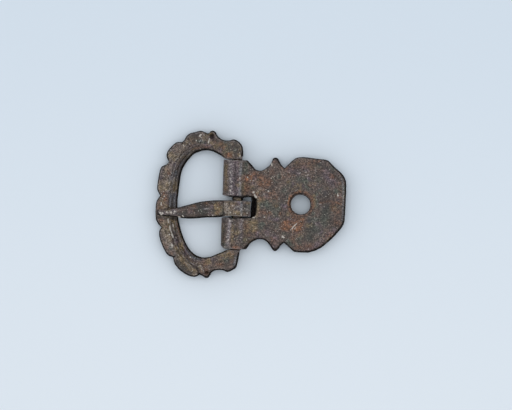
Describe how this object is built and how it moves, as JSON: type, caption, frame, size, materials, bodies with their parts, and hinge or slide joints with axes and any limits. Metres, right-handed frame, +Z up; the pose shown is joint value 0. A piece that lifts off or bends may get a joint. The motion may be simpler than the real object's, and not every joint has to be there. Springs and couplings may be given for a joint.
{
  "type": "belt buckle",
  "caption": "Old strap buckle: a lobed D-shaped frame with a narrowed bar, a folded sheet plate with a rivet hole, and a tapered tongue that turns on the bar.",
  "frame": {"origin": "on the ground under the middle of the buckle as it lies face up", "axes": "+X from the frame along the strap towards the plate's end, +Y across the strap along the bar, +Z up through the face"},
  "size_m": [0.042, 0.0326, 0.0049],
  "materials": {
    "frame_iron": "corroded dark brown patina, matte",
    "plate_iron": "corroded dark brown patina with rust spots, matte",
    "tongue_iron": "corroded dark brown patina, rubbed along the top"
  },
  "bodies": {
    "plate": {"plate": "plate_iron"},
    "frame": {"frame": "frame_iron"},
    "tongue": {"tongue": "tongue_iron"}
  },
  "joints": [
    {"name": "frame_hinge", "type": "hinge", "parent": "plate", "child": "frame", "pos_m": [-0.00295, 0, 0.0023], "axis": [0, 1, 0], "range_deg": [-150, 40]},
    {"name": "tongue_hinge", "type": "hinge", "parent": "frame", "child": "tongue", "pos_m": [-0.00295, 0, 0.0023], "axis": [0, 1, 0], "range_deg": [0, 85]}
  ]
}
